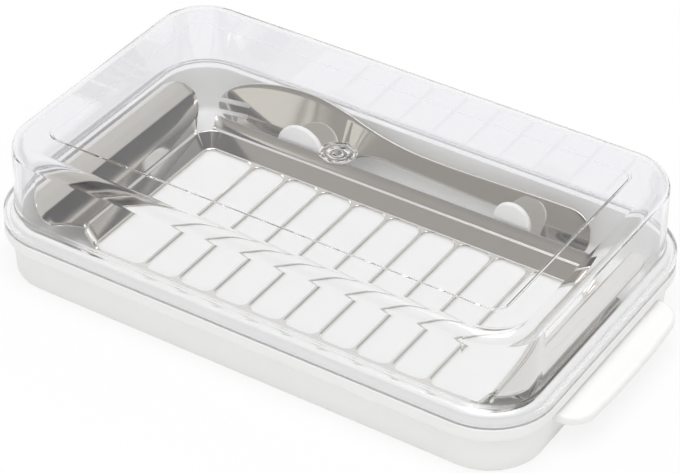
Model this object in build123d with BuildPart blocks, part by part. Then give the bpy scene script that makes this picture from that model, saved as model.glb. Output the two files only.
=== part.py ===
from build123d import *
import os
from math import cos, radians, sin, tan

# Butter dish with a pressed steel cutter and a butter knife, in millimetres.
# The dish stands on z = 0 with its centre at the origin. Its length runs along X,
# the carrying tab is at +X, and the knife stands in the trough along the +Y side.

# Fits
lid_play = 0.35          # between the lid's skirt and the lip that it goes over
seat_play = 0.05         # between a loose steel piece and the floor that it stands on

# Base tray
rim_length = 185.2
rim_width = 111.0
rim_corner = 20.3
rim_bottom = 12.2
rim_top = 17.6
rim_round = 2.4
foot_inset_end = 2.7     # of the outer wall at the table, from the rim's face
foot_inset_side = 3.2
base_length = rim_length - 2 * foot_inset_end
base_width = rim_width - 2 * foot_inset_side
base_corner = rim_corner - 2.8
base_draft = 3.5         # degrees, the outer wall leans outwards going up
foot_height = 1.8        # the floor is raised on a ring foot
ring_inset = 7.0         # of the ring foot's inner edge, from the rim's face
well_inset = 5.0         # of the tray's inside at the floor, from the rim's face
floor_thickness = 2.4
floor_round = 3.0
foot_round = 0.8
lip_wall = 1.8
lip_height = 3.1         # the lip stands up inside the lid's skirt
lip_round = 0.6

# Carrying tab
tab_width = 62.0
tab_reach = 8.6          # past the rim, at the middle
tab_bow = 1.6            # how much its end bows outwards
tab_thickness = 3.2
tab_top = 12.2
tab_corner = 8.0
tab_edge_round = 1.0
tab_let_in = 1.1         # between the tray's inside and the tab's root, buried in the wall

# Two round lobes that keep the knife in its trough
knife_inset = 15.2       # of the knife's foot, from the rim's face
knife_foot_y = rim_width / 2 - knife_inset
lobe_gap = 2.3           # between the knife's foot and the middle of the lobes
lobe_y = knife_foot_y - lobe_gap
lobe_thickness = 1.8
blade_lobe_x = -37.9
blade_lobe_radius = 8.5
blade_lobe_top = 19.4
handle_lobe_x = 38.4
handle_lobe_radius = 6.2
handle_lobe_top = 20.0
lobe_round = 0.5
lobe_let_in = 1.0        # how deep the lobes are let into the floor

# Clear lid
lid_wall = 1.8
skirt_height = 5.4
skirt_round = 2.6
ledge_width = 3.6        # from the skirt's face in to the lid's wall
lid_draft = 0.7          # degrees
band_height = 46.8       # top of the flat band round the raised panel
band_round = 4.2
ceiling_round = 2.6
panel_inset_end = 15.1   # from the rim's face
panel_inset_side = 15.8
panel_length = rim_length - 2 * panel_inset_end
panel_width = rim_width - 2 * panel_inset_side
panel_corner = 5.0
panel_rise = 0.4
panel_round = 0.25
gate_diameter = 11.7     # shallow dish that the moulding gate leaves
gate_depth = 0.45
gate_ring_width = 1.3
gate_nub_diameter = 2.6

# Cutter, pressed from one sheet
sheet = 0.8
grid_inset_end = 25.05   # of the outermost slots, from the rim's face
grid_inset_side = 25.3
grid_length = rim_length - 2 * grid_inset_end
slot_length = rim_width - 2 * grid_inset_side
slot_corner = 3.0
strip_count = 9
strip_width = 1.2
end_slot_extra = 5.85    # how much wider the two end slots are
strip_pitch = (grid_length + strip_width - 2 * end_slot_extra) / (strip_count + 1)
grid_margin = 0.6        # flat floor between the slots and the pressed wall
near_edge_width = 1.2    # flat edge along the open near side
pan_depth = 5.0          # the pressed wall along the far side and both ends
pan_flare = 28.0         # degrees from upright
pan_corner = 3.5
side_wall_height = 4.0   # plain wall above the pressed one, along the far side
side_wall_past = 1.15    # past the slots, at each end
flange_root_half = slot_length / 2 - 1.6    # half width where the end flange leaves the pan
flange_half_width = slot_length / 2 + 6.2
flange_near_extra = 5.5  # how much further it reaches towards the open near side
flange_slope_run = 6.8
flange_slope_rise = 8.6
flange_lip_run = 7.0
flange_lip_rise = 4.6
flange_bend = 6.0
flange_splay_run = 5.2   # along X, from the pan's end to the full width
flange_shoulder = 2.4
flange_corner = 7.5

# Knife, stamped from sheet, leaning back in its trough
knife_thickness = 1.2
knife_lean = 21.0        # degrees from upright
blade_tip_x = -73.0
blade_depth = 21.8
blade_peak_x = -41.0
blade_tip_height = 8.7   # of the foremost point, above the floor line
heel_x = -24.6           # where the blade's lower edge turns up to the neck
heel_run = 13.6
neck_bottom = 9.4
shoulder_x = -14.0
shoulder_top = 17.0
neck_x = 20.0            # where the top edge is lowest
neck_top = 15.2
palm_x = 30.0            # where the handle starts to deepen
palm_bottom = 8.1
handle_end_x = 62.2
handle_end_radius = 8.0
tine_slot_width = 1.5
tine_slot_end_x = -62.0
upper_slot_height = 11.2
lower_slot_height = 7.5
tine_slot_tilt = 7.0     # degrees
quarter_turn = 90.0      # degrees, of the arcs at the tip and the heel

# Heights and outlines that follow from the sizes above
floor_top = foot_height + floor_thickness
lip_top = rim_top + lip_height
lip_inset = lid_wall + lid_play
bore_inset = lip_inset + lip_wall
ledge_top = rim_top + skirt_height
ledge_underside = ledge_top - lid_wall
ceiling = band_height - lid_wall
panel_top = band_height + panel_rise
tab_root = rim_length / 2 - well_inset + tab_let_in
lobe_root = floor_top - lobe_let_in


def rim_outline(inset):
    """The rim's rounded rectangle, drawn in by an inset on every side."""
    RectangleRounded(rim_length - 2 * inset, rim_width - 2 * inset, rim_corner - inset)


with BuildPart() as lobes:
    with BuildSketch(Plane.XZ.offset(-lobe_y - lobe_thickness / 2)):
        for lobe_x, radius, top in ((blade_lobe_x, blade_lobe_radius, blade_lobe_top),
                                    (handle_lobe_x, handle_lobe_radius, handle_lobe_top)):
            straight = top - radius - lobe_root
            with Locations((lobe_x, top - radius)):
                Circle(radius)
                Rectangle(2 * radius, straight, align=(Align.CENTER, Align.MAX))
    extrude(amount=lobe_thickness)
    fillet(lobes.faces().filter_by(Axis.Y).edges(), lobe_round)


tab_end = rim_length / 2 + tab_reach
tab_side_end = tab_end - tab_bow
with BuildPart() as tab:
    with BuildSketch(Plane.XY.offset(tab_top - tab_thickness)) as tab_plan:
        with BuildLine():
            Polyline((tab_side_end, tab_width / 2), (tab_root, tab_width / 2),
                     (tab_root, -tab_width / 2), (tab_side_end, -tab_width / 2))
            ThreePointArc((tab_side_end, -tab_width / 2), (tab_end, 0), (tab_side_end, tab_width / 2))
        make_face()
        fillet(tab_plan.vertices().group_by(Axis.X)[-1], tab_corner)
    extrude(amount=tab_thickness)
    fillet(tab.faces().filter_by(Axis.Z).edges(), tab_edge_round)


with BuildPart() as base:
    # rim that the lid stands on
    with BuildSketch(Plane.XY.offset(rim_bottom)):
        rim_outline(0)
    extrude(amount=rim_top - rim_bottom)
    fillet(base.faces().sort_by(Axis.Z)[0].edges(), rim_round)

    # outer wall, down to the ring foot
    with BuildSketch():
        RectangleRounded(base_length, base_width, base_corner)
    extrude(amount=rim_bottom + rim_round, taper=-base_draft)
    fillet(base.faces().sort_by(Axis.Z)[0].edges(), foot_round)

    # lip that the lid goes over
    with BuildSketch(Plane.XY.offset(rim_top)):
        rim_outline(lip_inset)
    extrude(amount=lip_height)
    fillet(base.faces().sort_by(Axis.Z)[-1].edges(), lip_round)

    add(tab.part)

    # inside of the tray, narrow at the floor and wide at the lip
    with BuildSketch(Plane.XY.offset(floor_top)):
        rim_outline(well_inset)
    with BuildSketch(Plane.XY.offset(lip_top)):
        rim_outline(bore_inset)
    loft(mode=Mode.SUBTRACT)
    fillet(base.faces().filter_by(Axis.Z).filter_by_position(Axis.Z, floor_top - 0.01, floor_top + 0.01)
           .edges(), floor_round)

    # hollow under the floor
    with BuildSketch():
        rim_outline(ring_inset)
    extrude(amount=foot_height, mode=Mode.SUBTRACT)

    add(lobes.part)
base.part.label = "base"


# hollow of the lid, from the skirt's foot to the ceiling
with BuildPart() as hollow:
    with BuildSketch(Plane.XY.offset(rim_top)):
        rim_outline(ledge_width + lid_wall)
    extrude(amount=ceiling - rim_top, taper=lid_draft)
    fillet(hollow.faces().sort_by(Axis.Z)[-1].edges(), ceiling_round)


with BuildPart() as lid:
    # skirt, flush with the base's rim
    with BuildSketch(Plane.XY.offset(rim_top)):
        rim_outline(0)
    extrude(amount=skirt_height)
    fillet(lid.faces().sort_by(Axis.Z)[-1].edges(), skirt_round)

    # wall and top band
    with BuildSketch(Plane.XY.offset(rim_top)):
        rim_outline(ledge_width)
    extrude(amount=band_height - rim_top, taper=lid_draft)
    fillet(lid.faces().sort_by(Axis.Z)[-1].edges(), band_round)

    # raised panel
    with BuildSketch(Plane.XY.offset(band_height)):
        RectangleRounded(panel_length, panel_width, panel_corner)
    extrude(amount=panel_rise)
    fillet(lid.faces().sort_by(Axis.Z)[-1].edges(), panel_round)

    # hollow of the skirt, then of the lid above it
    with BuildSketch(Plane.XY.offset(rim_top)):
        rim_outline(lid_wall)
    extrude(amount=ledge_underside - rim_top, mode=Mode.SUBTRACT)
    add(hollow.part, mode=Mode.SUBTRACT)
    with BuildSketch(Plane.XY.offset(ceiling)):
        RectangleRounded(panel_length - lid_wall, panel_width - lid_wall, panel_corner - lid_wall / 2)
    extrude(amount=panel_rise, mode=Mode.SUBTRACT)

    # gate mark: a shallow dish with a ring and a nub left standing in it
    with BuildSketch(Plane.XY.offset(panel_top)):
        Circle(gate_diameter / 2)
        Circle(gate_diameter / 2 - gate_ring_width, mode=Mode.SUBTRACT)
    extrude(amount=-gate_depth, mode=Mode.SUBTRACT)
    with BuildSketch(Plane.XY.offset(panel_top)):
        Circle(gate_diameter / 2 - 2 * gate_ring_width)
        Circle(gate_nub_diameter / 2, mode=Mode.SUBTRACT)
    extrude(amount=-gate_depth, mode=Mode.SUBTRACT)
lid.part.label = "lid"


# Cutter outlines, inside faces of the sheet
grid_top = floor_top + seat_play + sheet
pan_top = grid_top + pan_depth
pan_spread = pan_depth * tan(radians(pan_flare))
pan_half_length = grid_length / 2 + grid_margin
pan_half_width = slot_length / 2 + grid_margin
inner_slot_width = strip_pitch - strip_width
end_slot_width = inner_slot_width + end_slot_extra
flange_root_x = pan_half_length + pan_spread
flange_shoulder_x = flange_root_x + flange_splay_run
flange_near_half = flange_half_width + flange_near_extra
flange_slope_x = flange_root_x + flange_slope_run
flange_end_x = flange_slope_x + flange_lip_run


def pan_block(spare, block_bottom, mode):
    """The pressed pan as a flared block, larger than the pan's inside by a spare."""
    with BuildSketch(Plane.XY.offset(block_bottom)) as low:
        RectangleRounded(2 * (pan_half_length + spare), 2 * (pan_half_width + spare), pan_corner + spare)
    wide = spare + pan_spread
    with BuildSketch(Plane.XY.offset(pan_top)) as high:
        RectangleRounded(2 * (pan_half_length + wide), 2 * (pan_half_width + wide), pan_corner + wide)
    loft([low.sketch.face(), high.sketch.face()], mode=mode)


# end flange, bent from the pan's end and cut to its plan
with BuildPart() as flange:
    with BuildSketch(Plane.XZ.offset(-flange_half_width)):
        with BuildLine():
            FilletPolyline((flange_root_x + sheet / 2, pan_top),
                           (flange_slope_x, pan_top + flange_slope_rise),
                           (flange_end_x, pan_top + flange_slope_rise + flange_lip_rise),
                           radius=flange_bend)
        trace(line_width=sheet)
    extrude(amount=flange_half_width + flange_near_half)
    with BuildSketch(Plane.XY.offset(grid_top)) as flange_plan:
        with BuildLine():
            Polyline((flange_root_x - sheet, flange_root_half), (flange_shoulder_x, flange_half_width),
                     (flange_end_x + sheet, flange_half_width), (flange_end_x + sheet, -flange_near_half),
                     (flange_shoulder_x, -flange_near_half), (flange_root_x - sheet, -flange_root_half),
                     close=True)
        make_face()
        fillet(flange_plan.vertices().group_by(Axis.X)[1], flange_shoulder)
        fillet(flange_plan.vertices().group_by(Axis.X)[-1], flange_corner)
    extrude(amount=pan_top + flange_slope_rise + flange_lip_rise, mode=Mode.INTERSECT)


with BuildPart() as cutter:
    # pressed pan
    pan_block(sheet, grid_top - sheet, Mode.ADD)
    pan_block(0, grid_top, Mode.SUBTRACT)

    # open near side, with a flat edge
    with BuildSketch(Plane.XY.offset(grid_top - sheet)):
        with Locations((0, -pan_half_width)):
            Rectangle(2 * flange_root_x, pan_depth, align=(Align.CENTER, Align.MAX))
    extrude(amount=pan_depth + sheet, mode=Mode.SUBTRACT)
    with BuildSketch(Plane.XY.offset(grid_top - sheet)):
        with Locations((0, -pan_half_width)):
            Rectangle(2 * (pan_half_length - pan_corner), near_edge_width, align=(Align.CENTER, Align.MAX))
    extrude(amount=sheet)

    # grid of slots, the two end ones wider
    with BuildSketch(Plane.XY.offset(grid_top - sheet)):
        with GridLocations(strip_pitch, 0, strip_count - 1, 1):
            RectangleRounded(inner_slot_width, slot_length, slot_corner)
        with GridLocations(grid_length - end_slot_width, 0, 2, 1):
            RectangleRounded(end_slot_width, slot_length, slot_corner)
    extrude(amount=sheet, mode=Mode.SUBTRACT)

    # plain wall along the far side
    with BuildSketch(Plane.XY.offset(pan_top)):
        with Locations((0, pan_half_width + pan_spread)):
            Rectangle(grid_length + 2 * side_wall_past, sheet, align=(Align.CENTER, Align.MIN))
    extrude(amount=side_wall_height)

    # end flanges
    add(flange.part)
    add(mirror(flange.part, Plane.YZ, mode=Mode.PRIVATE))
cutter.part.label = "cutter"


# Knife outline, drawn on its own leaning face with the floor line at zero
lean = radians(knife_lean)
knife_foot_z = floor_top + seat_play + knife_thickness * sin(lean)
knife_face = Plane((0, knife_foot_y, knife_foot_z), x_dir=(1, 0, 0), z_dir=(0, -cos(lean), sin(lean)))
handle_top = 2 * handle_end_radius
handle_turn_x = handle_end_x - handle_end_radius
tip_run = blade_peak_x - blade_tip_x

with BuildPart() as knife:
    with BuildSketch(knife_face):
        with BuildLine():
            EllipticalCenterArc((blade_peak_x, blade_tip_height), tip_run, blade_depth - blade_tip_height,
                                start_angle=90, arc_size=quarter_turn)
            Spline((blade_peak_x, blade_depth), (shoulder_x, shoulder_top), (neck_x, neck_top),
                   (handle_turn_x, handle_top), tangents=((1, 0), (1, 0)))
            ThreePointArc((handle_turn_x, handle_top), (handle_end_x, handle_end_radius), (handle_turn_x, 0))
            Spline((handle_turn_x, 0), (palm_x, palm_bottom), tangents=((-1, 0), (-1, 0)))
            Line((palm_x, palm_bottom), (heel_x + heel_run, neck_bottom))
            EllipticalCenterArc((heel_x + heel_run, 0), heel_run, neck_bottom, start_angle=90, arc_size=quarter_turn)
            Line((heel_x, 0), (blade_peak_x, 0))
            EllipticalCenterArc((blade_peak_x, blade_tip_height), tip_run, blade_tip_height,
                                start_angle=180, arc_size=quarter_turn)
        make_face()
        for slot_height in (upper_slot_height, lower_slot_height):
            with Locations(Location((tine_slot_end_x, slot_height, 0), (0, 0, tine_slot_tilt))):
                Circle(tine_slot_width / 2, mode=Mode.SUBTRACT)
                Rectangle(2 * blade_depth, tine_slot_width, align=(Align.MAX, Align.CENTER),
                          mode=Mode.SUBTRACT)
    extrude(amount=-knife_thickness)
knife.part.label = "knife"


os.makedirs("parts", exist_ok=True)
export_step(base.part, "parts/base.step")
export_step(lid.part, "parts/lid.step")
export_step(cutter.part, "parts/cutter.step")
export_step(knife.part, "parts/knife.step")
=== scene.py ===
# %% [markdown]
# A butter dish: a white tray, a clear lid, a pressed steel cutter and a steel butter knife.
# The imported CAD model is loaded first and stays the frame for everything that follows. All sizes are in metres,
# the dish stands on z = 0, and its length runs along X.

# %% Load the frame
import math
from math import cos, pi, radians, sin

import bpy
import bmesh
import numpy as np
from mathutils import Matrix, Vector


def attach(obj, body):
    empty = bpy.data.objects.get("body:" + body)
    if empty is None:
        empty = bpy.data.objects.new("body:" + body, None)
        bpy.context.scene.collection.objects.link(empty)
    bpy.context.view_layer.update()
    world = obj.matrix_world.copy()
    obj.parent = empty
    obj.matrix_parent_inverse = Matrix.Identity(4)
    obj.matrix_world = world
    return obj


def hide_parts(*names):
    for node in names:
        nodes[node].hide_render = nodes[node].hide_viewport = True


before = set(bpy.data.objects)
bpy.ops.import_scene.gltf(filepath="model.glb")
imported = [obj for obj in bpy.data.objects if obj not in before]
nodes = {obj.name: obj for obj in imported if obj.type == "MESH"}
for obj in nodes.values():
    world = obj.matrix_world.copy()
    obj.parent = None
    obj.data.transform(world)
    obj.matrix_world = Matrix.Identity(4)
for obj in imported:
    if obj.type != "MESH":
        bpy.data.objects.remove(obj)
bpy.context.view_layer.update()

print("nodes:", {name: len(piece.data.polygons) for name, piece in nodes.items()})

# %% [markdown]
# The camera looks down at the dish over its front right corner. Its place comes from a fit to the photograph:
# azimuth, elevation, a slight roll, distance and lens. A Blender camera looks along its own -Z, so the three
# columns of its matrix are its right, its up and the direction back towards the viewer.

# %% Camera
mm = 0.001
azimuth, elevation, roll = radians(32.217), radians(36.533), radians(0.6)
back = Vector((sin(azimuth) * cos(elevation), -cos(azimuth) * cos(elevation), sin(elevation)))
level_right = Vector((cos(azimuth), sin(azimuth), 0))
level_up = back.cross(level_right)
right = level_right * cos(roll) + level_up * sin(roll)
up = back.cross(right)
camera = bpy.data.objects.new("camera", bpy.data.cameras.new("camera"))
bpy.context.scene.collection.objects.link(camera)
turn = Matrix((right, up, back)).transposed()
place = right * 0.959 * mm + up * 13.496 * mm + back * 798.394 * mm
camera.matrix_world = Matrix.Translation(place) @ turn.to_4x4()
camera.data.sensor_width = 36
camera.data.lens = 2645.19 / 680 * 36
camera.data.clip_start = 0.01
bpy.context.scene.camera = camera
bpy.context.scene.view_settings.view_transform = "Standard"
print("camera at", [round(c, 4) for c in place], "lens", round(camera.data.lens, 2))

# %% [markdown]
# Materials are node trees. One function turns an sRGB hex value to the linear colour that a shader wants, and one
# adds a node with its settings and links, so that each material below reads as a short list of what feeds what.

# %% Two helpers for node trees
def linear(hex_value):
    """Linear RGBA of an sRGB hex value such as 0xF4F4F1."""
    parts = [(hex_value >> shift & 255) / 255 for shift in (16, 8, 0)]
    return [p / 12.92 if p <= 0.04045 else ((p + 0.055) / 1.055) ** 2.4 for p in parts] + [1.0]


def add_node(tree, kind, settings={}, **sockets):
    """Adds a node. settings are its own properties; sockets are its inputs, each a value or an output."""
    node = tree.nodes.new(kind)
    for name, value in settings.items():
        setattr(node, name, value)
    for name, value in sockets.items():
        socket = node.inputs[int(name[1:])] if name[1:].isdigit() else node.inputs[name.replace("_", " ")]
        if isinstance(value, bpy.types.NodeSocket):
            tree.links.new(value, socket)
        else:
            socket.default_value = value
    return node


def new_material(name):
    """An empty material and its node tree."""
    material = bpy.data.materials.new(name)
    material.use_nodes = True
    material.node_tree.nodes.clear()
    return material, material.node_tree


print("0xF9F9F8 in linear:", [round(c, 3) for c in linear(0xF9F9F8)])

# %% [markdown]
# The tray is injection moulded ABS, opaque white with a soft gloss. Plain ABS is almost even, but its skin shows a
# faint waviness where it cooled on the tool, and a trace of cloudiness in the pigment. Both are far too fine to
# see one by one, so the noise is drawn at 9 mm and 0.6 mm, which is as fine as this picture can show.

# %% White moulded ABS
abs_white, tree = new_material("moulded_abs_white")
coords = add_node(tree, "ShaderNodeTexCoord").outputs["Object"]
cloud = add_node(tree, "ShaderNodeTexNoise", Vector=coords, Scale=1 / (9 * mm), Detail=3.0)
skin = add_node(tree, "ShaderNodeTexNoise", Vector=coords, Scale=1 / (0.6 * mm), Detail=2.0)
pigment = add_node(tree, "ShaderNodeMix", {"data_type": "RGBA"}, Factor=cloud.outputs["Fac"],
                   _6=linear(0xF9F9F8), _7=linear(0xF6F6F5))
gloss = add_node(tree, "ShaderNodeMapRange", Value=cloud.outputs["Fac"], To_Min=0.30, To_Max=0.38)
ripple = add_node(tree, "ShaderNodeBump", Height=skin.outputs["Fac"], Strength=0.04, Distance=0.02 * mm)
surface = add_node(tree, "ShaderNodeBsdfPrincipled", Base_Color=pigment.outputs[2], IOR=1.54,
                   Roughness=gloss.outputs[0], Normal=ripple.outputs[0], Subsurface_Weight=0.3,
                   Subsurface_Radius=(1.6 * mm, 1.6 * mm, 1.6 * mm), Subsurface_Scale=1.0)
add_node(tree, "ShaderNodeOutputMaterial", Surface=surface.outputs[0])
print("tray material:", len(tree.nodes), "nodes")

# %% [markdown]
# The lid is clear moulded styrene plastic, with an index of about 1.57, glossy on both sides. Where the plastic
# flowed in the tool its skin waves faintly, over about 16 mm. Three kinds of ray pass it straight:
# - shadow rays, because lamps are only found through glass by chance, and the tray inside would be too dark;
# - rays that come back from a mirroring face outside the plastic, so that the steel mirrors the room;
# - rays trapped between the two faces of the wall, which would end up black after many reflections.
# A ray is inside the plastic when the number of faces that it went through is odd.

# %% Clear moulded styrene plastic
clear_plastic, tree = new_material("moulded_clear_styrene_plastic")
coords = add_node(tree, "ShaderNodeTexCoord").outputs["Object"]
flow = add_node(tree, "ShaderNodeTexNoise", Vector=coords, Scale=1 / (16 * mm), Detail=1.0)
wave = add_node(tree, "ShaderNodeBump", Height=flow.outputs["Fac"], Strength=0.15, Distance=0.1 * mm)
glass = add_node(tree, "ShaderNodeBsdfPrincipled", Base_Color=linear(0xF8F8FA), IOR=1.57, Roughness=0.0,
                 Transmission_Weight=1.0, Normal=wave.outputs[0])
open_way = add_node(tree, "ShaderNodeBsdfTransparent", Color=linear(0xFBFBFB))
ray = add_node(tree, "ShaderNodeLightPath")
inside = add_node(tree, "ShaderNodeMath", {"operation": "MODULO"}, _0=ray.outputs["Transmission Depth"],
                  _1=2.0)
outside = add_node(tree, "ShaderNodeMath", {"operation": "SUBTRACT"}, _0=1.0, _1=inside.outputs[0])
returning = add_node(tree, "ShaderNodeMath", {"operation": "MULTIPLY"}, _0=ray.outputs["Is Reflection Ray"],
                     _1=outside.outputs[0])
often = add_node(tree, "ShaderNodeMath", {"operation": "GREATER_THAN"}, _0=ray.outputs["Glossy Depth"],
                 _1=1.5)
trapped = add_node(tree, "ShaderNodeMath", {"operation": "MULTIPLY"}, _0=often.outputs[0],
                   _1=inside.outputs[0])
straight = add_node(tree, "ShaderNodeMath", {"operation": "MAXIMUM"}, _0=returning.outputs[0],
                    _1=trapped.outputs[0])
straight = add_node(tree, "ShaderNodeMath", {"operation": "MAXIMUM"}, _0=straight.outputs[0],
                    _1=ray.outputs["Is Shadow Ray"])
mixed = add_node(tree, "ShaderNodeMixShader", _0=straight.outputs[0], _1=glass.outputs[0],
                 _2=open_way.outputs[0])
add_node(tree, "ShaderNodeOutputMaterial", Surface=mixed.outputs[0])
print("lid material:", len(tree.nodes), "nodes")

# %% [markdown]
# The cutter and the knife are stainless steel sheet, polished after pressing. Polishing leaves a faint haze of
# fine scratches, so the roughness varies a little and a weak, stretched noise bends the reflections. The real
# scratches are a few hundredths of a millimetre apart, too fine to show, so they are drawn 0.35 mm apart and
# 9 mm long. They run along the dish.

# %% Polished stainless steel
def polished_steel(name, hex_value, rough):
    """Stainless steel with polishing marks drawn out along X."""
    material, tree = new_material(name)
    coords = add_node(tree, "ShaderNodeTexCoord").outputs["Object"]
    drawn = add_node(tree, "ShaderNodeMapping", Vector=coords,
                     Scale=(1 / (9 * mm), 1 / (0.35 * mm), 1 / (0.35 * mm)))
    marks = add_node(tree, "ShaderNodeTexNoise", Vector=drawn.outputs[0], Scale=1.0, Detail=3.0)
    haze = add_node(tree, "ShaderNodeTexNoise", Vector=coords, Scale=1 / (12 * mm), Detail=2.0)
    dull = add_node(tree, "ShaderNodeMapRange", Value=haze.outputs["Fac"],
                    To_Min=rough * 0.8, To_Max=rough * 1.25)
    tint = add_node(tree, "ShaderNodeMix", {"data_type": "RGBA"}, Factor=haze.outputs["Fac"],
                    _6=linear(hex_value), _7=linear(hex_value - 0x040404))
    bend = add_node(tree, "ShaderNodeBump", Height=marks.outputs["Fac"], Strength=0.05, Distance=0.01 * mm)
    steel = add_node(tree, "ShaderNodeBsdfPrincipled", Base_Color=tint.outputs[2], Metallic=1.0,
                     Roughness=dull.outputs[0], Normal=bend.outputs[0])
    add_node(tree, "ShaderNodeOutputMaterial", Surface=steel.outputs[0])
    return material


cutter_steel = polished_steel("polished_stainless_sheet", 0xE6E4E0, 0.08)
knife_steel = polished_steel("polished_stainless_knife", 0xDCD9D2, 0.035)
print("steel:", cutter_steel.name, knife_steel.name)

# %% [markdown]
# The lid and the tray follow one rule: a profile carried round a rounded rectangle. So each is made as a stack of
# rings, one for each point of the profile, with the same number of corners in every ring.
# The CAD meshes have long thin triangles, which bend reflections and refraction. Here a narrow row of faces stands
# beside each round, so that the flat faces stay truly flat in their shading.

# %% A ring, and a shell made of rings
CORNER_STEPS = 20
GUARD = 0.25


def ring(length, width, corner, z, x=0.0):
    """Points of a rounded rectangle at a height, in millimetres, anticlockwise seen from above."""
    radii = corner if isinstance(corner, tuple) else (corner,) * 4
    points = []
    for quarter, radius in enumerate(radii):
        sign_x, sign_y = ((1, 1), (-1, 1), (-1, -1), (1, -1))[quarter]
        middle = (x + sign_x * (length / 2 - radius), sign_y * (width / 2 - radius))
        for step in range(CORNER_STEPS + 1):
            angle = pi / 2 * (quarter + step / CORNER_STEPS)
            points.append((middle[0] + radius * cos(angle), middle[1] + radius * sin(angle), z))
        side = (length if quarter % 2 == 0 else width) - radius - radii[(quarter + 1) % 4]
        heading = ((-1, 0), (0, -1), (1, 0), (0, 1))[quarter]
        start = points[-1]
        for run in (GUARD, side * 0.25, side * 0.5, side * 0.75, side - GUARD):
            points.append((start[0] + heading[0] * run, start[1] + heading[1] * run, z))
    return points


def round_bend(corner, before, after, radius, steps=10):
    """Profile points of a round at a corner, between the directions to the points before and after it."""
    corner, before, after = Vector(corner), Vector(before), Vector(after)
    one, two = (before - corner).normalized(), (after - corner).normalized()
    half = one.angle(two) / 2
    reach = radius / math.tan(half)
    middle = corner + (one + two).normalized() * radius / sin(half)
    start, end = corner + one * reach - middle, corner + two * reach - middle
    sweep = start.angle(end)
    return [middle + (start * sin(sweep * (1 - t)) + end * sin(sweep * t)) / sin(sweep)
            for t in (step / steps for step in range(steps + 1))]


def rounded_profile(stations, guard=0.06):
    """A profile of (inset, z, radius) stations with every bend rounded and a guard point on its sides."""
    points = []
    for i, (inset, z, radius) in enumerate(stations):
        if radius == 0 or i in (0, len(stations) - 1):
            points.append(Vector((inset, z)))
            continue
        before, after = Vector(stations[i - 1][:2]), Vector(stations[i + 1][:2])
        bend = round_bend((inset, z), before, after, radius)
        points.append(bend[0] + (before - bend[0]).normalized() * guard)
        points += bend
        points.append(bend[-1] + (after - bend[-1]).normalized() * guard)
    return points


def ring_mesh(name, rings, material):
    """A closed mesh through a list of rings, capped at both ends."""
    count = len(rings[0])
    corners = [[c * mm for c in point] for loop in rings for point in loop]
    faces = []
    for r in range(len(rings) - 1):
        for i in range(count):
            j = (i + 1) % count
            faces.append((r * count + i, r * count + j, (r + 1) * count + j, (r + 1) * count + i))
    faces.append(tuple(reversed(range(count))))
    faces.append(tuple((len(rings) - 1) * count + i for i in range(count)))
    mesh = bpy.data.meshes.new(name)
    mesh.from_pydata(corners, [], faces)
    mesh.materials.append(material)
    return mesh


def shell(name, rings, material, body):
    """A finished piece through a list of rings."""
    return finish_piece(name, ring_mesh(name, rings, material), body)


def finish_piece(name, mesh, body, angle=35, merge=True):
    """Merges a mesh's doubles, turns its faces outwards, shades it smooth and lets it ride on its body."""
    tidy = bmesh.new()
    tidy.from_mesh(mesh)
    if merge:
        bmesh.ops.remove_doubles(tidy, verts=tidy.verts, dist=0.0005 * mm)
        bmesh.ops.dissolve_degenerate(tidy, edges=tidy.edges, dist=0.0005 * mm)
    if tidy.calc_volume(signed=True) < 0:
        bmesh.ops.reverse_faces(tidy, faces=tidy.faces)
    open_edges = sum(not edge.is_manifold for edge in tidy.edges)
    volume = tidy.calc_volume() / mm ** 3
    tidy.to_mesh(mesh)
    tidy.free()
    mesh.shade_smooth()
    mesh.set_sharp_from_angle(angle=radians(angle))
    piece = bpy.data.objects.new(name, mesh)
    bpy.context.scene.collection.objects.link(piece)
    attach(piece, body)
    print(name, len(mesh.polygons), "faces,", round(volume), "mm3,", open_edges, "open edges")
    return piece


RIM_LENGTH, RIM_WIDTH, RIM_CORNER = 185.2, 111.0, 20.3


def rim_ring(inset, z):
    """The rim's rounded rectangle, drawn in by an inset."""
    return ring(RIM_LENGTH - 2 * inset, RIM_WIDTH - 2 * inset, RIM_CORNER - inset, z)


print("points in a ring:", len(rim_ring(0, 0)))

# %% [markdown]
# The lid is one clear moulding 1.8 mm thick: a skirt that drops over the tray's lip, a ledge, a wall with a trace of
# draft, a flat band and a slightly raised panel. Its rounds matter most, because they bend what is seen through
# them into the zig-zag along each edge. In the middle of the panel is the gate mark where the plastic was let in.

# %% Clear lid
WALL, SHELF = 1.8, 3.6
RIM_TOP, LEDGE_TOP, BAND_TOP, PANEL_RISE = 17.6, 23.0, 46.8, 0.4
PANEL_LENGTH, PANEL_WIDTH = 155.0, 79.4


def wall_inset(start, z):
    """Inset of a face of the lid's wall, which leans in going up."""
    return start + (z - RIM_TOP) * math.tan(radians(0.7))


outside = rounded_profile([
    (0.0, RIM_TOP, 0), (0.0, LEDGE_TOP, 2.6), (wall_inset(SHELF, LEDGE_TOP), LEDGE_TOP, 0.5),
    (wall_inset(SHELF, BAND_TOP), BAND_TOP, 4.2), (12.0, BAND_TOP, 0)])
under_ledge, under_band = LEDGE_TOP - WALL, BAND_TOP - WALL
inside = rounded_profile([
    (WALL, RIM_TOP, 0), (WALL, under_ledge, 1.2), (wall_inset(SHELF + WALL, under_ledge), under_ledge, 1.0),
    (wall_inset(SHELF + WALL, under_band), under_band, 2.6), (12.5, under_band, 0)])


def panel_profile(length, width, corner, low, high):
    """Rings from the flat band up on to the panel, with both bends rounded. Insets are from its edge."""
    stations = [(-1.0, low, 0), (0.0, low, 0.12), (0.16, high, 0.14), (1.5, high, 0)]
    return [ring(length - 2 * inset, width - 2 * inset, corner - min(inset, corner - 0.5), z)
            for inset, z in rounded_profile(stations, 0.02)]


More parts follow.
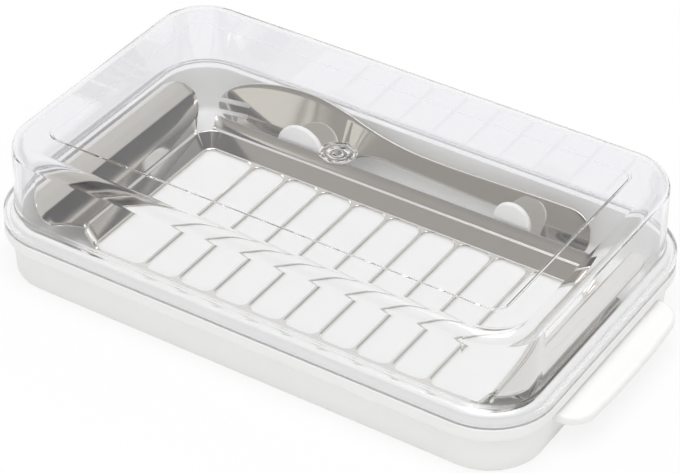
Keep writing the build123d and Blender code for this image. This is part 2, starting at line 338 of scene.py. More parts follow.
def gate_rings(profile, reference):
    """Circles of the gate mark, their points at the same angles as those of a reference ring."""
    turns = [math.atan2(y, x) for x, y, z in reference]
    return [[(radius * cos(t), radius * sin(t), z) for t in turns] for radius, z in profile]


panel_top = BAND_TOP + PANEL_RISE
outer_panel = panel_profile(PANEL_LENGTH, PANEL_WIDTH, 5.0, BAND_TOP, panel_top)
inner_panel = panel_profile(PANEL_LENGTH - WALL, PANEL_WIDTH - WALL, 4.1, under_band, panel_top - WALL)
gate_stations = [(6.3, panel_top, 0), (5.75, panel_top, 0.3), (5.15, panel_top - 0.45, 0.35),
                 (4.5, panel_top - 0.02, 0.3), (3.5, panel_top - 0.02, 0.3), (2.6, panel_top - 0.45, 0.4),
                 (1.7, panel_top - 0.45, 0.3), (1.2, panel_top - 0.05, 0.25), (0.25, panel_top - 0.05, 0)]
gate_mark = gate_rings(rounded_profile(gate_stations, 0.03), outer_panel[-1])
lid_rings = [rim_ring(inset, z) for inset, z in outside] + outer_panel + gate_mark
inner_rings = [rim_ring(inset, z) for inset, z in inside] + inner_panel
lid = shell("clear_lid", list(reversed(lid_rings)) + inner_rings, clear_plastic, "lid")
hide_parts("lid")

# %% [markdown]
# The tray is the same kind of stack of rings: a ring foot, a wall that leans outwards, the rim, the narrow seat
# that the lid stands on, the lip inside it and the floor. Only the wall follows its own outline, a little shorter
# than the rim's, which is why it gets a ring function of its own.

# %% White tray
FLOOR, LIP_TOP, LIP_FACE = 4.2, 20.7, 2.15
FOOT_LENGTH, FOOT_WIDTH, FOOT_CORNER, FOOT_ROUND, RIM_ROUND = 179.8, 104.6, 17.5, 0.8, 2.4


def wall_ring(inset, z):
    """The tray's outer wall, which leans outwards going up."""
    grow = z * math.tan(radians(3.5)) - inset
    return ring(FOOT_LENGTH + 2 * grow, FOOT_WIDTH + 2 * grow, FOOT_CORNER + grow, z)


foot_turns = [pi / 2 * step / 6 for step in range(7)]
tray_rings = [rim_ring(7.0, 1.8), rim_ring(7.0, 0.0)]
tray_rings += [wall_ring(FOOT_ROUND * (1 - sin(t)), FOOT_ROUND * (1 - cos(t))) for t in foot_turns]
tray_rings += [wall_ring(0, z) for z in (0.9, 6.0, 12.0, 12.24)]
rim_turns = [radians(15 + 75 * step / 10) for step in range(11)]
tray_rings += [rim_ring(RIM_ROUND - RIM_ROUND * sin(t), 14.6 - RIM_ROUND * cos(t)) for t in rim_turns]
tray_rings += [rim_ring(inset, z) for inset, z in rounded_profile([
    (0.0, 14.7, 0), (0.0, RIM_TOP, 0.3), (LIP_FACE, RIM_TOP, 0.25), (LIP_FACE, LIP_TOP, 0.55),
    (LIP_FACE + 1.8, LIP_TOP, 0.55), (5.0, FLOOR, 2.6), (9.0, FLOOR, 0)])]
tray = shell("tray", tray_rings, abs_white, "base")
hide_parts("base")

# %% [markdown]
# The carrying tab and the two lobes are flat blocks with a rounded edge all round, moulded in one with the tray.
# A block is its outline repeated at a few levels, drawn in at both faces by the edge's round. The tab's end bows
# outwards a little, between two round corners. The lobes stand upright, so their outline is turned.

# %% Carrying tab and lobes
def rounded_block(name, outline, low, high, edge, place, body, material):
    """A block with rounded edges from an outline of (point, outward direction) pairs.

    place turns x, y and the level into a point in space.
    """
    turns = [pi / 2 * step / 5 for step in range(6)]
    levels = [(edge * (1 - sin(t)), low + edge * (1 - cos(t))) for t in turns]
    levels += [(edge * (1 - cos(t)), high - edge * (1 - sin(t))) for t in turns]
    levels = [(edge + 0.05, low)] + levels + [(edge + 0.05, high)]
    rings = [[place(x - nx * inset, y - ny * inset, level) for (x, y), (nx, ny) in outline]
             for inset, level in levels]
    return shell(name, rings, material, body)


def arc_outline(middle, radius, start, end, steps=14):
    """Outline pairs along an arc, in degrees."""
    turns = [radians(start + (end - start) * step / steps) for step in range(steps + 1)]
    return [((middle[0] + radius * cos(t), middle[1] + radius * sin(t)), (cos(t), sin(t))) for t in turns]


TAB_ROOT, TAB_HALF, TAB_CORNER, BOW_MIDDLE, BOW_RADIUS = 88.7, 31.0, 8.0, -199.92, 301.1
corner_y = TAB_HALF - TAB_CORNER
corner_run = math.sqrt((BOW_RADIUS - TAB_CORNER) ** 2 - corner_y ** 2)
corner_x, bow_end = BOW_MIDDLE + corner_run, math.degrees(math.atan2(corner_y, corner_run))
tab_outline = [((TAB_ROOT, -TAB_HALF), (0, -1))]
tab_outline += arc_outline((corner_x, -corner_y), TAB_CORNER, -90, -bow_end)
tab_outline += arc_outline((BOW_MIDDLE, 0), BOW_RADIUS, -bow_end, bow_end)[1:-1]
tab_outline += arc_outline((corner_x, corner_y), TAB_CORNER, bow_end, 90)
tab_outline += [((TAB_ROOT, TAB_HALF), (0, 1))]
rounded_block("carrying_tab", tab_outline, 9.0, 12.2, 1.0, lambda x, y, z: (x, y, z), "base", abs_white)
LOBE_FOOT, LOBE_NEAR, LOBE_FAR = FLOOR - 1.0, 37.1, 38.9
for name, x, radius, top in (("blade_lobe", -37.9, 8.5, 19.4), ("handle_lobe", 38.4, 6.2, 20.0)):
    outline = [((x + radius, LOBE_FOOT), (1, 0))] + arc_outline((x, top - radius), radius, 0, 180, 24)
    outline += [((x - radius, LOBE_FOOT), (-1, 0))]
    rounded_block(name, outline, -LOBE_FAR, -LOBE_NEAR, 0.5, lambda u, v, w: (u, -w, v), "base", abs_white)

# %% [markdown]
# The cutter is one pressed sheet, 0.8 mm thick. Its floor is a row of ten slots with nine strips between them,
# and the two end slots are wider. Eight of the slots are the same, so Geometry Nodes repeat one cell of the floor
# along a line: a slot with half a strip on each side. Every ring of a cell has the same number of points. The punch
# draws the edge of a slot down as it goes through, so the inner rings sink: each step of the die roll says how far
# outside the slot it lies and how deep.

# %% Slotted floor of the cutter
PLATE_TOP, SLOT_WIDTH, SLOT_LENGTH, SLOT_CORNER, PITCH = 5.05, 11.26, 60.4, 3.0, 12.46
MARGIN, END_MARGIN = 0.6, 0.3
DIE_ROLL = ((0.5, 0.0), (0.46, 0.0), (0.24, 0.07), (0.08, 0.2), (0.0, 0.4))


def slot_cell(width, x, corners):
    """Faces between a slot and its cell's outline, in metres. corners are the radii of that outline."""
    rings = [ring(width + 2 * MARGIN, SLOT_LENGTH + 2 * END_MARGIN, corners, PLATE_TOP, x)]
    for grow, drop in DIE_ROLL:
        end_grow = min(grow, END_MARGIN * 0.8)
        rings.append(ring(width + 2 * grow, SLOT_LENGTH + 2 * end_grow, SLOT_CORNER + grow,
                          PLATE_TOP - drop, x))
    count = len(rings[0])
    faces = [(k + i, k + (i + 1) % count, k + count + (i + 1) % count, k + count + i)
             for k in range(0, count * len(DIE_ROLL), count) for i in range(count)]
    mesh = bpy.data.meshes.new("slot_cell")
    mesh.from_pydata([[c * mm for c in point] for loop in rings for point in loop], [], faces)
    return mesh


cell = bpy.data.objects.new("slot_cells", slot_cell(SLOT_WIDTH, -3.5 * PITCH, (0, 0, 0, 0)))
bpy.context.scene.collection.objects.link(cell)
tree = bpy.data.node_groups.new("repeat_slots", "GeometryNodeTree")
tree.interface.new_socket("Geometry", in_out="INPUT", socket_type="NodeSocketGeometry")
count_input = tree.interface.new_socket("Slots", in_out="INPUT", socket_type="NodeSocketInt")
pitch_input = tree.interface.new_socket("Pitch", in_out="INPUT", socket_type="NodeSocketFloat")
metal_input = tree.interface.new_socket("Metal", in_out="INPUT", socket_type="NodeSocketMaterial")
tree.interface.new_socket("Geometry", in_out="OUTPUT", socket_type="NodeSocketGeometry")
given = add_node(tree, "NodeGroupInput").outputs
step = add_node(tree, "ShaderNodeCombineXYZ", X=given["Pitch"]).outputs[0]
line = add_node(tree, "GeometryNodeMeshLine", Count=given["Slots"], Offset=step)
copies = add_node(tree, "GeometryNodeInstanceOnPoints", Points=line.outputs[0], Instance=given["Geometry"])
real = add_node(tree, "GeometryNodeRealizeInstances", Geometry=copies.outputs[0])
joined = add_node(tree, "GeometryNodeMergeByDistance", Geometry=real.outputs[0], Distance=0.002 * mm)
steel = add_node(tree, "GeometryNodeSetMaterial", Geometry=joined.outputs[0], Material=given["Metal"])
add_node(tree, "NodeGroupOutput", Geometry=steel.outputs[0])
repeat = cell.modifiers.new("repeat_slots", "NODES")
repeat.node_group = tree
repeat[count_input.identifier] = 8
repeat[pitch_input.identifier] = PITCH * mm
repeat[metal_input.identifier] = cutter_steel
evaluated = cell.evaluated_get(bpy.context.evaluated_depsgraph_get())
inner_slots = bpy.data.meshes.new_from_object(evaluated)
bpy.data.objects.remove(cell)
print("repeated slots:", len(inner_slots.polygons), "faces")

# %% [markdown]
# From the edge of that floor the sheet is pressed up along the far side and both ends and turns out in a narrow
# ledge. It goes on as a plain wall along the far side, and as a flange at each end, which reaches further to the
# near side. The near side is left open, with a flat edge. The bends are what the eye reads on polished steel,
# because each mirrors a sweep of the room, so each is a real round. First the whole upper face is made as one open
# surface, and the next step gives it its thickness.

# %% Pressed pan, side wall and end flanges
END_SLOT = 17.11
END_X = 4 * PITCH + MARGIN + END_SLOT / 2
PLATE_HALF = (68.15, 30.5)
PLATE_CORNER = 3.6
LEDGE, LEDGE_Z, SIDE_END = 3.2, 10.05, 68.7
FLANGE_ROOT, NEAR_SPREAD, FAR_SPREAD, FLANGE_CORNER, CORNER_FROM = 28.6, 13.3, 7.8, 7.5, 77.3
pan_profile = rounded_profile([(0.0, PLATE_TOP, 0), (0.2, PLATE_TOP, 0.25), (2.92, 10.0, 0.35),
                               (LEDGE, LEDGE_Z, 0)], 0.03)
side_profile = rounded_profile([(LEDGE, LEDGE_Z, 0), (3.6, 10.08, 0.45), (5.23, 13.75, 0)], 0.04)[1:]
flange_foot = [(71.15, LEDGE_Z, 0), (71.9, 10.1, 1.1)]
left_profile = rounded_profile(flange_foot + [(74.2, 14.4, 30.0), (77.5, 19.3, 5.0), (80.7, 21.7, 6.0),
                                              (83.2, 22.75, 4.0), (84.8, 22.95, 0)], 0.05)[1:]
right_profile = rounded_profile(flange_foot + [(74.4, 14.4, 14.0), (77.7, 20.7, 2.5), (84.8, 22.95, 0)],
                                0.05)[1:]


def past_corner(point):
    """How far a point is past the middle of the nearest round corner of the floor, along X and along Y."""
    return abs(point.x) - (PLATE_HALF[0] - PLATE_CORNER), abs(point.y) - (PLATE_HALF[1] - PLATE_CORNER)


def off_plate(point):
    """Distance of a point from the outline of the cutter's floor."""
    past = past_corner(point)
    return (math.hypot(*past) if min(past) > 0 else max(past)) - PLATE_CORNER


def plate_outward(point):
    """Which way is out of the cutter's floor, seen from above, for a point of its edge."""
    past_x, past_y = past_corner(point)
    out = Vector((max(past_x, 0.0), max(past_y, 0.0)))
    if past_x < 0.001:
        out = Vector((0, 1))
    elif past_y < 0.001:
        out = Vector((1, 0))
    out.normalize()
    return Vector((math.copysign(out.x, point.x), math.copysign(out.y, point.y), 0))


def smooth_step(value):
    """0 up to 1 as a value goes from 0 to 1, with a soft start and a soft end."""
    t = min(max(value, 0.0), 1.0)
    return t * t * (3 - 2 * t)


def flange_reach(x, near):
    """How far the flange reaches to one side at a distance along X: it widens, then rounds off."""
    wide = FLANGE_ROOT + (NEAR_SPREAD if near else FAR_SPREAD) * smooth_step((x - 70.8) / 5.6)
    past = max(x - CORNER_FROM, 0.0)
    return wide - FLANGE_CORNER + math.sqrt(max(FLANGE_CORNER ** 2 - past ** 2, 0.0))


def at_x(profile, x):
    """Height of a profile at a distance, between its points."""
    return float(np.interp(x, [point.x for point in profile], [point.y for point in profile]))


sheet = bmesh.new()
sheet.from_mesh(inner_slots)
sheet.from_mesh(slot_cell(END_SLOT, END_X, (PLATE_CORNER, 0, 0, PLATE_CORNER)))
sheet.from_mesh(slot_cell(END_SLOT, -END_X, (0, PLATE_CORNER, PLATE_CORNER, 0)))
bmesh.ops.remove_doubles(sheet, verts=sheet.verts, dist=0.002 * mm)
bmesh.ops.scale(sheet, vec=(1000, 1000, 1000), verts=sheet.verts)
bmesh.ops.dissolve_degenerate(sheet, edges=sheet.edges, dist=0.001)
rim_edges = [e for e in sheet.edges if e.is_boundary and all(abs(off_plate(v.co)) < 0.01 for v in e.verts)]
print("edge of the slotted floor:", len(rim_edges), "edges")
columns = {}
for edge in [e for e in rim_edges if not all(v.co.y < 0.01 - PLATE_HALF[1] for v in e.verts)]:
    for vert in edge.verts:
        if vert not in columns:
            out = plate_outward(vert.co)
            foot = vert.co.copy()
            columns[vert] = [vert] + [sheet.verts.new(foot + out * offset + Vector((0, 0, z - PLATE_TOP)))
                                      for offset, z in pan_profile[1:]]
for edge in rim_edges:
    if all(vert in columns for vert in edge.verts):
        one, two = (columns[v] for v in edge.verts)
        for k in range(len(pan_profile) - 1):
            sheet.faces.new((one[k], two[k], two[k + 1], one[k + 1]))
bmesh.ops.bisect_plane(sheet, geom=sheet.verts[:] + sheet.edges[:] + sheet.faces[:], clear_inner=True,
                       plane_co=(0, -PLATE_HALF[1], 0), plane_no=(0, 1, 0), dist=0.001)


def patch(rows):
    """Faces between rows of points, each row a list of (x, y, z)."""
    made = [[sheet.verts.new(point) for point in row] for row in rows]
    for low, high in zip(made, made[1:]):
        for k in range(len(low) - 1):
            sheet.faces.new((low[k], low[k + 1], high[k + 1], high[k]))


NEAR_EDGE = 1.2
ledge_half = (PLATE_HALF[0] + LEDGE, PLATE_HALF[1] + LEDGE)
edge_x = {round(vert.co.x, 3) for edge in rim_edges if edge.is_valid for vert in edge.verts
          if abs(vert.co.y) > PLATE_HALF[1] - 0.01 and abs(vert.co.x) < PLATE_HALF[0] - PLATE_CORNER + 0.01}
straight = PLATE_HALF[1] - PLATE_CORNER
end_y = sorted({round(sign * y, 3) for sign in (1, -1)
                for y in (0, straight / 2, straight - GUARD, straight, FLANGE_ROOT)})
side_x = sorted(edge_x | {-SIDE_END, SIDE_END})
corner_rows = [CORNER_FROM + FLANGE_CORNER * sin(pi / 2 * step / 14) for step in range(1, 15)]
patch([[(x, -PLATE_HALF[1] - out, PLATE_TOP) for x in sorted(edge_x)] for out in (0, NEAR_EDGE)])
patch([[(x, ledge_half[1], LEDGE_Z) for x in side_x]]
      + [[(x, PLATE_HALF[1] + p.x, p.y) for x in side_x] for p in side_profile])
for sign, profile in ((1, right_profile), (-1, left_profile)):
    rows = sorted({round(p.x, 3) for p in profile} | {round(x, 3) for x in corner_rows})
    patch([[(sign * ledge_half[0], y, LEDGE_Z) for y in end_y]]
          + [[(sign * x, y / FLANGE_ROOT * flange_reach(x, y < 0), at_x(profile, x)) for y in end_y]
             for x in rows])
bmesh.ops.remove_doubles(sheet, verts=sheet.verts, dist=0.004)
bmesh.ops.recalc_face_normals(sheet, faces=sheet.faces)
floor_face = max(sheet.faces, key=lambda f: abs(f.normal.z))
if floor_face.normal.z < 0:
    bmesh.ops.reverse_faces(sheet, faces=sheet.faces)
bmesh.ops.scale(sheet, vec=(mm, mm, mm), verts=sheet.verts)
sheet_mesh = bpy.data.meshes.new("pressed_sheet")
sheet.to_mesh(sheet_mesh)
odd_edges = sum(len(edge.link_faces) > 2 for edge in sheet.edges)
print("open sheet:", len(sheet_mesh.polygons), "faces,", odd_edges, "odd edges")
sheet.free()
sheet_mesh.materials.clear()
sheet_mesh.materials.append(cutter_steel)

# %% [markdown]
# A modifier gives the sheet its 0.8 mm downwards. Under the die roll that would push the underside into the tray,
# so there the underside is laid flat again. A second modifier softens the cut edges by 0.15 mm.

# %% Thickness and softened edges
SHEET = 0.8
blank = bpy.data.objects.new("cutter_blank", sheet_mesh)
bpy.context.scene.collection.objects.link(blank)
thick = blank.modifiers.new("thickness", "SOLIDIFY")
thick.thickness, thick.offset, thick.use_even_offset = SHEET * mm, -1, True
solid = bpy.data.meshes.new_from_object(blank.evaluated_get(bpy.context.evaluated_depsgraph_get()))
blank.modifiers.remove(thick)
half_way = len(sheet_mesh.vertices)
flat = [(upper.co, under) for upper, under in zip(solid.vertices[:half_way], solid.vertices[half_way:])
        if upper.co.z < (PLATE_TOP + 0.001) * mm]
for upper, under in flat:
    under.co = upper.x, upper.y, (PLATE_TOP - SHEET) * mm
print("points laid flat under the slotted floor:", len(flat))
blank.data = solid
soft = blank.modifiers.new("soft_edges", "BEVEL")
soft.width, soft.segments, soft.limit_method, soft.angle_limit = 0.15 * mm, 2, "ANGLE", radians(60)
soft.use_clamp_overlap = True
cutter_mesh = bpy.data.meshes.new_from_object(blank.evaluated_get(bpy.context.evaluated_depsgraph_get()))
bpy.data.objects.remove(blank)
cutter = finish_piece("pressed_cutter", cutter_mesh, "cutter", 50, merge=False)
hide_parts("cutter")

# %% [markdown]
# The knife is stamped from 1.2 mm sheet and a little crowned across its width, so the reflections run along it in
# bands. It is made of cross-sections along its length, each a flat bar with rounded edges and a slight bulge, as
# high as the outline is there. The outline follows the knife from its tip over the blade's highest point, the heel
# where the lower edge turns up, and the neck, to the round end of the handle.

# %% Outline of the knife
def smooth_line(points, start_slope, end_slope):
    """A cubic spline y(x) through points, with given slopes at its ends."""
    xs, ys = [p[0] for p in points], [p[1] for p in points]
    count = len(xs)
    gaps = [xs[i + 1] - xs[i] for i in range(count - 1)]
    rises = [(ys[i + 1] - ys[i]) / gaps[i] for i in range(count - 1)]
    matrix, want = np.eye(count), np.array([start_slope] + [0.0] * (count - 2) + [end_slope], float)
    for i in range(1, count - 1):
        matrix[i, i - 1:i + 2] = 1 / gaps[i - 1], 2 / gaps[i - 1] + 2 / gaps[i], 1 / gaps[i]
        want[i] = 3 * (rises[i - 1] / gaps[i - 1] + rises[i] / gaps[i])
    slopes = np.linalg.solve(matrix, want)

    def height(x):
        i = min(max(sum(x >= knot for knot in xs) - 1, 0), count - 2)
        t = (x - xs[i]) / gaps[i]
        return (ys[i] * (1 + 2 * t) * (1 - t) ** 2 + slopes[i] * gaps[i] * t * (1 - t) ** 2
                + ys[i + 1] * t * t * (3 - 2 * t) + slopes[i + 1] * gaps[i] * t * t * (t - 1))
    return height


def quarter(t):
    """Height of a unit quarter circle, t from 0 at its foot to 1 at its top."""
    return math.sqrt(max(1 - (1 - t) ** 2, 0.0))


TIP, PEAK, HEEL, NECK, SHAFT_END, ROUND_FROM = -73.0, -41.0, -24.6, -11.0, 30.0, 54.2
TIP_HEIGHT, DEPTH, NECK_LOW, SHAFT_LOW, END_RADIUS = 8.7, 21.8, 9.4, 8.1, 8.0
upper_line = smooth_line([(PEAK, DEPTH), (-14.0, 17.0), (20.0, 15.2), (ROUND_FROM, 2 * END_RADIUS)], 0, 0)
lower_line = smooth_line([(SHAFT_END, SHAFT_LOW), (ROUND_FROM, 0.0)], 0, 0)


def end_round(x):
    """Half the height of the handle's round end."""
    return END_RADIUS * math.sqrt(max(1 - ((x - ROUND_FROM) / END_RADIUS) ** 2, 0.0))


def knife_top(x):
    """The knife's upper edge above its floor line."""
    if x < PEAK:
        return TIP_HEIGHT + (DEPTH - TIP_HEIGHT) * quarter((x - TIP) / (PEAK - TIP))
    return upper_line(x) if x < ROUND_FROM else END_RADIUS + end_round(x)


def knife_bottom(x):
    """The knife's lower edge above its floor line."""
    if x < PEAK:
        return TIP_HEIGHT * (1 - quarter((x - TIP) / (PEAK - TIP)))
    if x < HEEL:
        return 0.0
    if x < NECK:
        return NECK_LOW * quarter((x - HEEL) / (NECK - HEEL))
    if x < SHAFT_END:
        return NECK_LOW - (NECK_LOW - SHAFT_LOW) * (x - NECK) / (SHAFT_END - NECK)
    return lower_line(x) if x < ROUND_FROM else END_RADIUS - end_round(x)


stations = [TIP + (PEAK - TIP) * (1 - cos(pi / 2 * step / 24)) for step in range(1, 25)]
stations += [PEAK + (HEEL - PEAK) * step / 8 for step in range(1, 9)]
stations += [HEEL + (NECK - HEEL) * (1 - cos(pi / 2 * step / 12)) for step in range(1, 13)]
stations += [NECK + (ROUND_FROM - NECK) * step / 40 for step in range(1, 41)]
stations += [ROUND_FROM + END_RADIUS * sin(pi / 2 * step / 14) for step in range(1, 14)]
stations.append(ROUND_FROM + END_RADIUS - 0.01)
depths = [knife_top(x) - knife_bottom(x) for x in stations]
print("knife sections:", len(stations), "deepest", round(max(depths), 1), "mm")

# %% [markdown]
# The knife leans back 21 degrees in its trough, as in the CAD model. What it mirrors shows that it leans a little
# more, the handle by 2.5 degrees and the blade by 3.9, so the sections turn by that. Two slots cut its tip into
# tines.

# %% Knife
THICK, LEAN, CROWN, EDGE = 1.2, radians(21), 0.09, 0.3
knife_foot = (40.3, FLOOR + 0.05 + THICK * sin(LEAN))


def on_knife(x, up, into):
    """A point of the leaning knife: how far along, how high on its face and how deep in the sheet."""
    return (x, knife_foot[0] + up * sin(LEAN) + into * cos(LEAN),
            knife_foot[1] + up * cos(LEAN) - into * sin(LEAN))


def twist(x):
    """Slope by which the knife leans back more than 21 degrees, the blade more than the handle."""
    return math.tan(radians(2.5 + 1.4 * (1 - smooth_step((x + 24.0) / 24.0))))


def knife_section(x):
    """A loop of points round the knife at a distance along it: front face upwards, back face downwards."""
    low, high = knife_bottom(x), knife_top(x)
    middle, half = (low + high) / 2, max((high - low) / 2, 0.02)
    edge = min(EDGE, half * 0.9)
    loop = []
    for side in (1, -1):
        for k in range(13):
            v = -1 + 2 * k / 12
            depth = 0.0 if side == 1 else THICK
            loop.append((side * v * (half - edge), depth, side * v))
        for k in range(1, 8):
            turn = radians(22.5 * k)
            swing = THICK / 2 * (1 - cos(turn))
            depth = swing if side == 1 else THICK - swing
            loop.append((side * (half - edge + edge * sin(turn)), depth, float(side)))
    points = []
    for across, depth, v in loop:
        bulge = CROWN * min(half / 10, 1.0) ** 2 * (1 - v * v)
        points.append(on_knife(x, middle + across, depth - bulge + across * twist(x)))
    return points


def tine_slot(height):
    """What is cut out for one slot of the tip, round at its inner end and open at the tip."""
    tilt, radius, end_x, past_tip = radians(7), 0.75, -62.0, 20
    turns = [tilt - pi / 2 + pi * step / 12 for step in range(13)]
    outline = [(end_x + radius * cos(t), height + radius * sin(t)) for t in turns]
    outline += [(x - past_tip * cos(tilt), z - past_tip * sin(tilt)) for x, z in (outline[-1], outline[0])]
    rings = [[on_knife(x, z, into) for x, z in outline] for into in (-3, 4)]
    return ring_mesh("tine_slot", rings, knife_steel)


def outward(mesh):
    """Turns a closed mesh's faces outwards and makes an object of it."""
    shape = bmesh.new()
    shape.from_mesh(mesh)
    bmesh.ops.remove_doubles(shape, verts=shape.verts, dist=0.0005 * mm)
    bmesh.ops.recalc_face_normals(shape, faces=shape.faces)
    shape.to_mesh(mesh)
    shape.free()
    piece = bpy.data.objects.new(mesh.name, mesh)
    bpy.context.scene.collection.objects.link(piece)
    return piece


blank = outward(ring_mesh("knife_blank", [knife_section(x) for x in stations], knife_steel))
slots = [outward(tine_slot(height)) for height in (11.2, 7.5)]
for slot in slots:
    cut = blank.modifiers.new("tine_slot", "BOOLEAN")
    cut.operation, cut.solver, cut.object = "DIFFERENCE", "EXACT", slot
knife_mesh = bpy.data.meshes.new_from_object(blank.evaluated_get(bpy.context.evaluated_depsgraph_get()))
for piece in [blank] + slots:
    bpy.data.objects.remove(piece)
knife = finish_piece("butter_knife", knife_mesh, "knife")
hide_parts("knife")

# %% [markdown]
# The floor is plain and white. Seen by the camera, in a reflection or through the lid it is mostly its own white,
# with a share of real shading mixed in near the dish, so that the dish still throws its soft shadow on it. The
# share goes from a fifth beside the dish to nothing 60 mm away.

# %% Floor
paper, tree = new_material("white_paper")
diffuse = add_node(tree, "ShaderNodeBsdfDiffuse", Color=linear(0xF2F2F2))
white = add_node(tree, "ShaderNodeEmission", Color=(1, 1, 1, 1), Strength=1.0)
ray = add_node(tree, "ShaderNodeLightPath")
seen = add_node(tree, "ShaderNodeMath", {"operation": "MAXIMUM"}, _0=ray.outputs["Is Camera Ray"],
                _1=ray.outputs["Is Glossy Ray"])
seen = add_node(tree, "ShaderNodeMath", {"operation": "MAXIMUM"}, _0=seen.outputs[0],
                _1=ray.outputs["Is Transmission Ray"])
coords = add_node(tree, "ShaderNodeTexCoord").outputs["Object"]
off = add_node(tree, "ShaderNodeVectorMath", {"operation": "ABSOLUTE"}, _0=coords)
off = add_node(tree, "ShaderNodeVectorMath", {"operation": "SUBTRACT"}, _0=off.outputs[0],
               _1=(92 * mm, 55 * mm, 0))
off = add_node(tree, "ShaderNodeVectorMath", {"operation": "MAXIMUM"}, _0=off.outputs[0], _1=(0, 0, 0))
off = add_node(tree, "ShaderNodeVectorMath", {"operation": "LENGTH"}, _0=off.outputs[0])
whiter = add_node(tree, "ShaderNodeMapRange", {"interpolation_type": "SMOOTHSTEP"},
                  Value=off.outputs["Value"], From_Min=0.0, From_Max=60 * mm, To_Min=0.8, To_Max=1.0)
share = add_node(tree, "ShaderNodeMath", {"operation": "MULTIPLY"}, _0=seen.outputs[0],
                 _1=whiter.outputs[0])
mixed = add_node(tree, "ShaderNodeMixShader", _0=share.outputs[0], _1=diffuse.outputs[0],
                 _2=white.outputs[0])
add_node(tree, "ShaderNodeOutputMaterial", Surface=mixed.outputs[0])
floor_mesh = bpy.data.meshes.new("floor")
reach = 3.0
floor_corners = [(-reach, -reach, 0), (reach, -reach, 0), (reach, reach, 0), (-reach, reach, 0)]
floor_mesh.from_pydata(floor_corners, [], [(0, 1, 2, 3)])
floor_mesh.materials.append(paper)
floor = bpy.data.objects.new("floor", floor_mesh)
bpy.context.scene.collection.objects.link(floor)
print("floor", 2 * reach, "m square")

# %% [markdown]
# The studio has one large soft lamp overhead, a little to the front right, and a weak one in front. The camera
# sees the room as white, also through the lid. Matt faces are lit by it as an even pale room. What the steel
# mirrors is a room with light and dark walls, given by the direction: X to the right, Y to the back, Z up. At the
# front left is a window with two dark bars, and at the far right a light strip between dark ones.

# %% Room and lamps
world = bpy.data.worlds.new("studio")
bpy.context.scene.world = world
world.use_nodes = True
tree = world.node_tree
tree.nodes.clear()
heading = add_node(tree, "ShaderNodeTexCoord").outputs["Generated"]
way = add_node(tree, "ShaderNodeSeparateXYZ", Vector=heading).outputs


def levels(value, steps):
    """How light the room is along one axis of the direction, as (position, colour) steps."""
    node = add_node(tree, "ShaderNodeValToRGB", Fac=value)
    node.color_ramp.elements.remove(node.color_ramp.elements[1])
    for k, (position, hex_value) in enumerate(steps):
        element = node.color_ramp.elements.new(position) if k else node.color_ramp.elements[0]
        element.position, element.color = position, linear(hex_value)
    return node.outputs["Color"]


def blend_by(value, start, end, one, two):
    """One colour turning into another as a value goes from start to end."""
    share = add_node(tree, "ShaderNodeMapRange", {"interpolation_type": "SMOOTHSTEP"}, Value=value,
                     From_Min=start, From_Max=end)
    mix = add_node(tree, "ShaderNodeMix", {"data_type": "RGBA"}, Factor=share.outputs[0], _6=one, _7=two)
    return mix.outputs[2]


left_side = levels(way["Z"], [(0.0, 0xF2F1EF), (0.20, 0xF6F5F3), (0.50, 0xFFFFFF), (1.0, 0xFFFFFF)])
right_side = levels(way["Z"], [(0.0, 0x504D4A), (0.12, 0x363432), (0.21, 0x33312F), (0.26, 0x8E8A85),
                               (0.31, 0x3A3835), (0.38, 0x6E6A66), (0.44, 0xD2CEC6), (0.50, 0x8A8680),
                               (0.57, 0xC8C6C1), (0.70, 0xD8D6D2), (1.0, 0xDCDAD7)])
across = add_node(tree, "ShaderNodeMapRange", Value=way["X"], From_Min=-0.465, From_Max=-0.42).outputs[0]
window = levels(across, [(0.0, 0xEEEBE4), (0.155, 0xEEEBE4), (0.19, 0x6E6962), (0.22, 0x6E6962),
                         (0.255, 0xE8E5DE), (0.38, 0xE8E5DE), (0.41, 0x6A655E), (0.45, 0x6A655E),
                         (0.485, 0xC8C4BC), (0.75, 0x9A958D)])
above = levels(way["Z"], [(0.24, 0xA39E96), (0.5, 0x888480), (0.75, 0xFFFFFF)])
below = add_node(tree, "ShaderNodeRGB").outputs[0]
below.default_value = linear(0x948F87)
front_left = blend_by(way["Z"], 0.225, 0.245, blend_by(way["Z"], 0.14, 0.155, below, window), above)
front_right = levels(way["Z"], [(0.0, 0x504D4A), (0.55, 0x474441), (0.80, 0xFFFFFF)])
front_side = blend_by(way["X"], -0.37, -0.20, front_left, front_right)
behind = blend_by(way["X"], -0.36, -0.12, left_side, right_side)
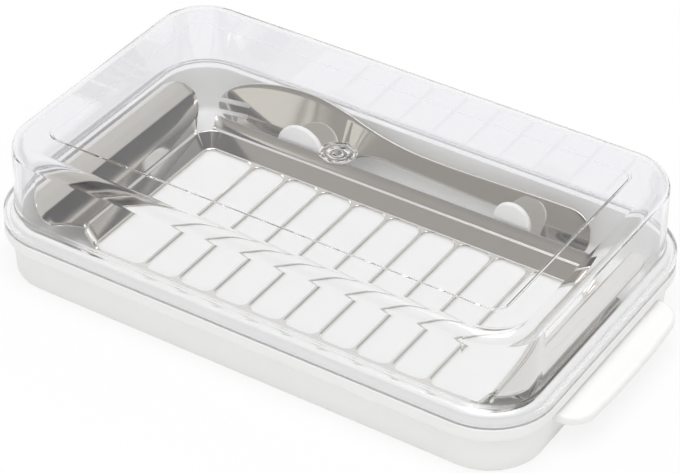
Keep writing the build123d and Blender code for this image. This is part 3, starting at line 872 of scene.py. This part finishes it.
far_right = levels(way["Z"], [(0.0, 0x4E4B48), (0.095, 0x3C3A37), (0.115, 0xC9C5BD), (0.15, 0xD6D2CA),
                              (0.18, 0x8A8680), (0.25, 0x33312F), (0.50, 0x2E2C2A), (0.70, 0xDCDAD7)])
behind = blend_by(way["X"], 0.52, 0.60, behind, far_right)
mirrored = blend_by(way["Y"], 0.25, -0.25, behind, front_side)
ray = add_node(tree, "ShaderNodeLightPath")
room = add_node(tree, "ShaderNodeBackground", Color=linear(0xCBCBCA), Strength=1.0)
seen_in_steel = add_node(tree, "ShaderNodeBackground", Color=mirrored, Strength=1.0)
backdrop = add_node(tree, "ShaderNodeBackground", Color=(1, 1, 1, 1), Strength=1.0)
with_steel = add_node(tree, "ShaderNodeMixShader", _0=ray.outputs["Is Glossy Ray"], _1=room.outputs[0],
                      _2=seen_in_steel.outputs[0])
seen = add_node(tree, "ShaderNodeMath", {"operation": "MAXIMUM"}, _0=ray.outputs["Is Camera Ray"],
                _1=ray.outputs["Is Transmission Ray"])
mixed = add_node(tree, "ShaderNodeMixShader", _0=seen.outputs[0], _1=with_steel.outputs[0],
                 _2=backdrop.outputs[0])
add_node(tree, "ShaderNodeOutputWorld", Surface=mixed.outputs[0])


def softbox(name, where, aim, size, watts):
    """A square area lamp at a point, turned towards another."""
    lamp = bpy.data.lights.new(name, "AREA")
    lamp.shape = "SQUARE"
    lamp.size = size
    lamp.energy = watts
    piece = bpy.data.objects.new(name, lamp)
    bpy.context.scene.collection.objects.link(piece)
    piece.location = where
    piece.rotation_euler = (Vector(aim) - Vector(where)).to_track_quat("-Z", "Y").to_euler()
    print(name, "radiance", round(watts / (pi * size * size), 2))


softbox("softbox_top", (0.2, -0.25, 1.48), (0, 0, 0), 1.3, 13.0)
softbox("softbox_front", (0.5, -1.3, 1.1), (0, 0, 0), 0.9, 0.8)

# %% [markdown]
# At the end the view layer is brought up to date.

# %% The end
bpy.context.view_layer.update()
